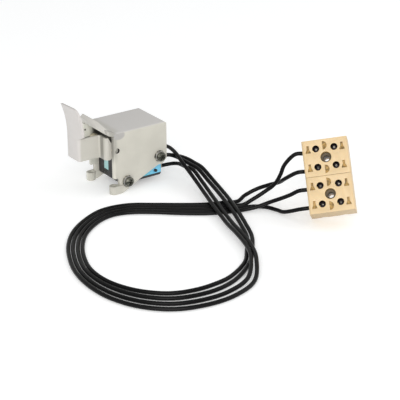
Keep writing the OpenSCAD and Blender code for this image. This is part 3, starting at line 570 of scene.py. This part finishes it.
def blue_moulding(sizes, colours):
    """Glossy blue plastic, with painted reflection that turns it greener towards the front and painted
    light that makes its end face pale. It is black along the foot of the case, low on its end face
    and in a small round spot.
    """
    finish = Finish("blue_moulding")
    flow = finish.noise(4 * MM, 3)
    grain = finish.noise(sizes.grain, 2)
    length = finish.along((1, 0, 0), CASE_FOOT)
    height = finish.along((0, 0, 1), CASE_FOOT)
    deep = finish.mix(flow.ramp(0.3, 0.7), shade(colours.case, 0.94), shade(colours.case, 1.06))
    # Painted reflection makes the case greener towards the front, and painted light makes its end face pale.
    green = finish.mix((1 - length.ramp(12 * MM, 24 * MM)) * 0.8, deep, (0.10, 0.47, 0.50, 1))
    end_face = 1 - length.ramp(0.3 * MM, 0.6 * MM)
    pale = finish.mix(end_face, green, (0.36, 0.63, 0.63, 1))
    # Black along the foot of the case, low on its end face and in a small round spot.
    foot = (1 - height.ramp(1.3 * MM, 1.7 * MM)).most(end_face * (1 - height.ramp(4.4 * MM, 4.8 * MM)))
    mark = finish.inside((1, 0, 1), CASE_FOOT + Vector((24.4, 0, 3)) * MM, 1 * MM)
    tone = finish.mix(foot.most(mark), pale, (0.012, 0.013, 0.016, 1))
    return finish.surface(
        Base_Color=tone, Roughness=0.22 + grain * 0.1, Coat_Weight=0.2, Coat_Roughness=0.1,
        Normal=finish.bump(grain, 0.01 * MM, 0.25))


def black_moulding(sizes, colours):
    """Black plastic with a satin grain and pale dust in it."""
    finish = Finish("black_moulding")
    grain = finish.noise(sizes.grain, 3)
    dust = finish.noise(3 * MM, 4).ramp(0.5, 0.8)
    tone = finish.mix(dust * 0.6, (0.016, 0.016, 0.018, 1), (0.045, 0.044, 0.043, 1))
    return finish.surface(
        Base_Color=tone, Roughness=0.36 + grain * 0.2, Normal=finish.bump(grain, 0.02 * MM, 0.35))


def red_moulding(sizes, colours):
    """Polished red plastic of the plungers, rubbed paler at the tip."""
    finish = Finish("red_moulding")
    tip = finish.along((0, 0, 1)).ramp(21.8 * MM, 22.4 * MM)
    scuff = finish.noise(0.5 * MM, 3).ramp(0.4, 0.7)
    tone = finish.mix(tip * scuff, (0.42, 0.035, 0.025, 1), (0.62, 0.16, 0.12, 1))
    return finish.surface(
        Base_Color=tone, Roughness=0.2 + tip * 0.25, Coat_Weight=0.2,
        Normal=finish.bump(scuff, 0.005 * MM, 0.3))


def brass(sizes, colours):
    """Brass, tarnished brown in patches."""
    finish = Finish("brass")
    tarnish = finish.noise(1.8 * MM, 4).ramp(0.42, 0.72)
    marks = finish.noise(0.25 * MM, 2)
    tone = finish.mix(tarnish, (0.72, 0.52, 0.20, 1), (0.34, 0.22, 0.09, 1))
    return finish.surface(
        Base_Color=tone, Metallic=1.0, Roughness=0.26 + tarnish * 0.25,
        Normal=finish.bump(marks, 0.01 * MM, 0.35))


def beige_moulding(sizes, colours):
    """Beige plastic of the terminal blocks, with painted shade: golden in its recesses, dark brown in its mounting
    holes, dark in its wells and darker on its lower end.
    """
    finish = Finish("beige_moulding")
    cloud = finish.noise(7 * MM, 3).ramp(0.3, 0.7)
    grain = finish.noise(sizes.grain, 3)
    off_middle, depth, up, from_well = finish.on_blocks()
    off_seam = (up - 2 * POLE_PITCH).size()
    off_ends = 2 * POLE_PITCH - off_seam
    indoors = (1 - off_middle.ramp(11.1 * MM, 11.3 * MM)) * off_ends.ramp(0.2 * MM, 0.4 * MM)
    whole = indoors * off_seam.ramp(0.2 * MM, 0.3 * MM)
    shallow = depth.ramp(0.15 * MM, 0.6 * MM) * (1 - depth.ramp(1.8 * MM, 2.2 * MM))
    # Painted shade on the blocks' lower end.
    lower_end = 1 - up.ramp(0.1 * MM, 0.3 * MM)
    plain = finish.mix(cloud, shade(colours.block, 0.97), shade(colours.block, 1.03))
    body = finish.mix(lower_end, plain, shade(colours.block, 0.72))
    # Painted shade: the recesses are golden, in two tones by noise that stand for their depth shadows.
    gold = finish.mix(finish.noise(1.6 * MM, 2).ramp(0.36, 0.62), shade(colours.recess, 0.42), colours.recess)
    golden = finish.mix(whole * shallow, body, gold)
    # Painted shade: dark in the screw wells and dark brown down in the mounting holes.
    well = (1 - from_well.ramp(2.1 * MM, 2.4 * MM)) * depth.ramp(0.1 * MM, 0.7 * MM)
    from_hole = (off_middle ** 2 + (off_seam - POLE_PITCH) ** 2) ** 0.5
    hole = (1 - from_hole.ramp(3.2 * MM, 3.4 * MM)) * depth.ramp(1.2 * MM, 4 * MM)
    indoor = 1 - depth.ramp(11 * MM, 12 * MM)
    bored = finish.mix(hole * indoor, golden, shade(colours.recess, 0.16))
    tone = finish.mix(well * indoor, bored, (0.025, 0.018, 0.016, 1))
    return finish.surface(
        Base_Color=tone, Roughness=0.36 + grain * 0.16, Subsurface_Weight=0.08,
        Subsurface_Radius=(1.2 * MM, 0.7 * MM, 0.35 * MM),
        Normal=finish.bump(grain, 0.02 * MM, 0.35))


def black_insulation(sizes, colours):
    """Glossy black insulation with the faint waves of extrusion and some dust."""
    finish = Finish("black_insulation")
    waves = finish.noise(5 * MM, 2)
    dust = finish.noise(1.1 * MM, 4).ramp(0.5, 0.8)
    tone = finish.mix(dust * 0.5, colours.insulation, shade(colours.insulation, 2.6))
    return finish.surface(
        Base_Color=tone, Roughness=0.3 + dust * 0.16, Specular_IOR_Level=0.14,
        Normal=finish.bump(waves, 0.06 * MM, 0.3))


def solder(sizes, colours):
    """Solder: bright, uneven, with a little dark flux."""
    finish = Finish("solder")
    lumps = finish.noise(0.7 * MM, 3)
    flux = finish.noise(1.3 * MM, 3).ramp(0.52, 0.7)
    tone = finish.mix(flux, (0.62, 0.62, 0.60, 1), (0.30, 0.22, 0.12, 1))
    return finish.surface(
        Base_Color=tone, Metallic=0.9, Roughness=0.25 + flux * 0.3,
        Normal=finish.bump(lumps, 0.08 * MM, 0.5))


def studio_floor(sizes, colours):
    """White paper under the unit, slightly lit by itself so that it stays white."""
    finish = Finish("studio_floor")
    fibre = finish.noise(60 * MM, 2)
    return finish.surface(
        Base_Color=(0.86, 0.87, 0.875, 1), Roughness=0.75 + fibre * 0.1,
        Emission_Color=(1, 1, 1, 1), Emission_Strength=0.3)


FINISHES = {
    "grey_moulding": grey_moulding, "painted_sheet": painted_sheet, "steel": steel,
    "spring_steel": spring_steel, "cream_sleeve": cream_sleeve, "blue_moulding": blue_moulding,
    "black_moulding": black_moulding, "red_moulding": red_moulding, "brass": brass,
    "beige_moulding": beige_moulding, "black_insulation": black_insulation,
    "solder": solder, "studio_floor": studio_floor,
}


def finish_named(name, scene):
    """The material of that name, made the first time it is asked for."""
    made = bpy.data.materials.get(name + "_finish")
    return made or FINISHES[name](scene.microswitch_sizes, scene.microswitch_colours)


# Modelling steps that several pieces share
def take(*pieces):
    """Selects these objects alone, the first one active."""
    bpy.ops.object.select_all(action="DESELECT")
    for piece in pieces:
        piece.select_set(True)
    bpy.context.view_layer.objects.active = pieces[0]


def edit(piece, everything=True):
    """Opens a piece in edit mode with all or none of it selected."""
    take(piece)
    bpy.ops.object.mode_set(mode="EDIT")
    bpy.ops.mesh.select_all(action="SELECT" if everything else "DESELECT")


def close_edit():
    bpy.ops.object.mode_set(mode="OBJECT")


def apply_modifier(piece, kind, **settings):
    """Adds a modifier and applies it."""
    take(piece)
    modifier = piece.modifiers.new(kind.lower(), kind)
    for key, value in settings.items():
        setattr(modifier, key, value)
    bpy.ops.object.modifier_apply(modifier=modifier.name)


def rounded(piece, width, segments=3, angle=28):
    """Rounds a piece's sharp edges and shades it smooth."""
    apply_modifier(
        piece, "BEVEL", width=width, segments=segments, limit_method="ANGLE",
        angle_limit=math.radians(angle), use_clamp_overlap=True, miter_outer="MITER_ARC")
    take(piece)
    bpy.ops.object.shade_smooth_by_angle(angle=math.radians(32))


def finished(piece, name, body, material, stands_for=()):
    """Puts a piece's place in its mesh, and gives it its name, body and finish."""
    take(piece)
    bpy.ops.object.transform_apply(location=True, rotation=True, scale=True)
    piece.name = name
    piece.data.name = name
    piece.data.materials.clear()
    piece.data.materials.append(material)
    if body:
        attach(piece, body)
    if stands_for:
        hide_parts(*stands_for)
    return piece


def merged_copy(node):
    """A copy of a CAD node as one closed mesh with flat faces joined."""
    mesh = NODES[node].data.copy()
    piece = bpy.data.objects.new(node + "_copy", mesh)
    bpy.context.scene.collection.objects.link(piece)
    edit(piece)
    bpy.ops.mesh.customdata_custom_splitnormals_clear()
    bpy.ops.mesh.remove_doubles(threshold=0.001 * MM)
    bpy.ops.mesh.dissolve_limited(angle_limit=math.radians(0.5))
    close_edit()
    return piece


def softened(node, width, scene, segments=3):
    """A CAD node's form with rounded edges, in the finish of its slot."""
    piece = merged_copy(node)
    rounded(piece, width, segments)
    slot = SLOT_OF[node]
    material = finish_named(slot, scene)
    return finished(piece, node + "_piece", BODY_OF[node], material, [node])


def wound_spring(scene):
    """The return spring, one leg on the base and the other on the lever, as one smooth piece
    that stays where its CAD form lies.
    """
    node = "return_spring"
    piece = merged_copy(node)
    bpy.ops.object.shade_smooth_by_angle(angle=math.radians(40))
    slot = SLOT_OF[node]
    finished(piece, node + "_piece", None, finish_named(slot, scene), [node])
    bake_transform(piece)


# Pieces
class MICROSWITCH_OT_housing(Operator):
    """Build the moulded housing with rounded edges"""

    bl_idname = "microswitch.housing"
    bl_label = "Housing"

    def execute(self, context):
        softened("housing", context.scene.microswitch_sizes.housing_edge, context.scene)
        return {"FINISHED"}


class MICROSWITCH_OT_lever(Operator):
    """Build the folded lever and the sleeve that carries it"""

    bl_idname = "microswitch.lever"
    bl_label = "Lever"

    def execute(self, context):
        scene = context.scene
        softened("lever", scene.microswitch_sizes.sheet_edge, scene)
        softened("pivot_bush", scene.microswitch_sizes.metal_edge, scene)
        return {"FINISHED"}


class MICROSWITCH_OT_pivot(Operator):
    """Build the pivot pin, its clip and the return spring"""

    bl_idname = "microswitch.pivot"
    bl_label = "Pivot"

    def execute(self, context):
        scene = context.scene
        edge = scene.microswitch_sizes.metal_edge
        softened("pivot_pin", edge, scene)
        softened("retaining_clip", edge * 0.7, scene)
        wound_spring(scene)
        return {"FINISHED"}


class MICROSWITCH_OT_switches(Operator):
    """Build the two switches, with their plungers, tabs and spacer"""

    bl_idname = "microswitch.switches"
    bl_label = "Switches"

    def execute(self, context):
        scene = context.scene
        sizes = scene.microswitch_sizes
        for side in ("near", "far"):
            softened(side + "_case_half", sizes.case_edge, scene)
            softened(side + "_case_cover", sizes.case_edge, scene)
            softened(side + "_plunger", sizes.metal_edge, scene)
            softened(side + "_no_tab", sizes.metal_edge, scene)
        for tab in TABS:
            softened(tab, sizes.metal_edge, scene)
        softened("switch_spacer", sizes.metal_edge, scene)
        return {"FINISHED"}


class MICROSWITCH_OT_fasteners(Operator):
    """Build the screws, washers and nuts"""

    bl_idname = "microswitch.fasteners"
    bl_label = "Fasteners"

    def execute(self, context):
        scene = context.scene
        edge = scene.microswitch_sizes.metal_edge
        for node in SCREWS + ("flat_washers", "spring_washers", "nuts"):
            softened(node, edge, scene)
        return {"FINISHED"}


class MICROSWITCH_OT_terminal_blocks(Operator):
    """Build the terminal blocks with their clamp tubes and screws"""

    bl_idname = "microswitch.terminal_blocks"
    bl_label = "Terminal blocks"

    def execute(self, context):
        scene = context.scene
        sizes = scene.microswitch_sizes
        for level in ("upper", "lower"):
            softened(level + "_block", sizes.block_edge, scene)
            softened(level + "_clamp_screws", sizes.metal_edge, scene)
        for pole in (1, 2, 3, 4):
            softened(f"clamp_tube_{pole}", sizes.metal_edge, scene)
        return {"FINISHED"}


def lead_curve(lead, diameter):
    """A lead as one round curve along its route."""
    line = smooth_line(route(lead), SPANS)
    curve = bpy.data.curves.new(f"lead_{lead + 1}", "CURVE")
    curve.dimensions = "3D"
    curve.bevel_depth = diameter / 2
    curve.bevel_resolution = 5
    curve.use_fill_caps = True
    spline = curve.splines.new("POLY")
    spline.points.add(len(line) - 1)
    for point, place in zip(spline.points, line):
        point.co = (*place, 1)
    spline.use_smooth = True
    piece = bpy.data.objects.new(f"lead_{lead + 1}", curve)
    bpy.context.scene.collection.objects.link(piece)
    return piece, line


def solder_joint(lead, tab, place, scene):
    """A lump of solder that holds a lead's end on its tab."""
    bpy.ops.mesh.primitive_uv_sphere_add(segments=24, ring_count=14, radius=1.35 * MM, location=place)
    piece = bpy.context.active_object
    piece.scale = (1.35, 1, 1.15)
    edit(piece)
    bpy.ops.mesh.vertices_smooth(factor=0.4, repeat=2)
    bpy.ops.transform.vertex_random(offset=0.12 * MM, uniform=0.3, seed=lead + 1)
    close_edit()
    apply_modifier(piece, "SUBSURF", levels=1, render_levels=1)
    take(piece)
    bpy.ops.object.shade_smooth()
    finished(piece, f"solder_{lead + 1}", BODY_OF[tab], finish_named("solder", scene))


class MICROSWITCH_OT_leads(Operator):
    """Build the four leads along their routes and solder them to their tabs"""

    bl_idname = "microswitch.leads"
    bl_label = "Leads"

    def execute(self, context):
        scene = context.scene
        diameter = scene.microswitch_sizes.wire_diameter
        for lead in range(4):
            node = f"wire_{lead + 1}"
            piece, line = lead_curve(lead, diameter)
            tab = min(TABS, key=lambda name: (middle(name) - line[0]).length)
            solder_joint(lead, tab, line[0], scene)
            piece.data.materials.append(finish_named("black_insulation", scene))
            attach(piece, "base")
            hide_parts(node)
            round(line_length(line), 3)
        return {"FINISHED"}


def softbox(name, place, aim, size, power, tint):
    """A square area light that faces a point."""
    light = bpy.data.lights.new(name, "AREA")
    light.shape = "SQUARE"
    light.size = size
    light.energy = power
    light.color = tint
    lamp = bpy.data.objects.new(name, light)
    lamp.location = place
    lamp.rotation_euler = (Vector(aim) - Vector(place)).to_track_quat("-Z", "Y").to_euler()
    bpy.context.scene.collection.objects.link(lamp)


class MICROSWITCH_OT_stage(Operator):
    """Set up the floor, the light and the camera"""

    bl_idname = "microswitch.stage"
    bl_label = "Stage"

    def execute(self, context):
        scene = context.scene
        stage = scene.microswitch_stage
        bpy.ops.mesh.primitive_plane_add(size=12, location=(0, 0, 0))
        floor = context.active_object
        floor.name = "floor"
        floor.data.materials.append(finish_named("studio_floor", scene))
        softbox("key", (-0.62, -0.95, 0.5), stage.aim, 0.9, stage.key_power, (1, 0.985, 0.96))
        softbox("fill", (0.9, -0.5, 0.7), stage.aim, 0.9, stage.fill_power, (0.96, 0.98, 1))
        world = bpy.data.worlds.new("studio")
        world.use_nodes = True
        backdrop = world.node_tree.nodes["Background"]
        backdrop.inputs["Color"].default_value = (1, 1, 1, 1)
        backdrop.inputs["Strength"].default_value = stage.sky
        scene.world = world
        camera_data = bpy.data.cameras.new("camera")
        camera_data.lens = stage.lens
        camera_data.clip_start = 0.01
        camera = bpy.data.objects.new("camera", camera_data)
        turn = stage.azimuth
        rise = stage.elevation
        back = Vector((math.sin(turn) * math.cos(rise), -math.cos(turn) * math.cos(rise), math.sin(rise)))
        camera.location = Vector(stage.aim) + back * stage.distance
        camera.rotation_euler = (math.pi / 2 - rise, 0, turn)
        scene.collection.objects.link(camera)
        scene.camera = camera
        scene.view_settings.view_transform = "Standard"
        return {"FINISHED"}


class MICROSWITCH_PT_build(Panel):
    """Lists the pieces of the microswitch unit"""

    bl_idname = "MICROSWITCH_PT_build"
    bl_label = "Microswitch"
    bl_space_type = "VIEW_3D"
    bl_region_type = "UI"
    bl_category = "Microswitch"

    def draw(self, context):
        layout = self.layout
        for operator in OPERATORS:
            layout.operator(operator.bl_idname)
        for group in (context.scene.microswitch_sizes, context.scene.microswitch_colours,
                      context.scene.microswitch_stage):
            box = layout.box()
            for key in group.bl_rna.properties.keys():
                if key not in {"rna_type", "name"}:
                    box.prop(group, key)


GROUPS = {
    "microswitch_sizes": MicroswitchSizes,
    "microswitch_colours": MicroswitchColours,
    "microswitch_stage": MicroswitchStage,
}
OPERATORS = (
    MICROSWITCH_OT_stage, MICROSWITCH_OT_housing, MICROSWITCH_OT_lever, MICROSWITCH_OT_pivot,
    MICROSWITCH_OT_switches, MICROSWITCH_OT_fasteners, MICROSWITCH_OT_terminal_blocks,
    MICROSWITCH_OT_leads,
)


def register():
    for group in GROUPS.values():
        bpy.utils.register_class(group)
    for name, group in GROUPS.items():
        setattr(bpy.types.Scene, name, PointerProperty(type=group))
    for operator in OPERATORS:
        bpy.utils.register_class(operator)
    bpy.utils.register_class(MICROSWITCH_PT_build)


def unregister():
    bpy.utils.unregister_class(MICROSWITCH_PT_build)
    for operator in reversed(OPERATORS):
        bpy.utils.unregister_class(operator)
    for name in GROUPS:
        delattr(bpy.types.Scene, name)
    for group in GROUPS.values():
        bpy.utils.unregister_class(group)


def main():
    """Registers the add-on and builds every piece in order."""
    register()
    bpy.ops.microswitch.stage()
    bpy.ops.microswitch.housing()
    bpy.ops.microswitch.lever()
    bpy.ops.microswitch.pivot()
    bpy.ops.microswitch.switches()
    bpy.ops.microswitch.fasteners()
    bpy.ops.microswitch.terminal_blocks()
    bpy.ops.microswitch.leads()


if __name__ == "__main__":
    main()
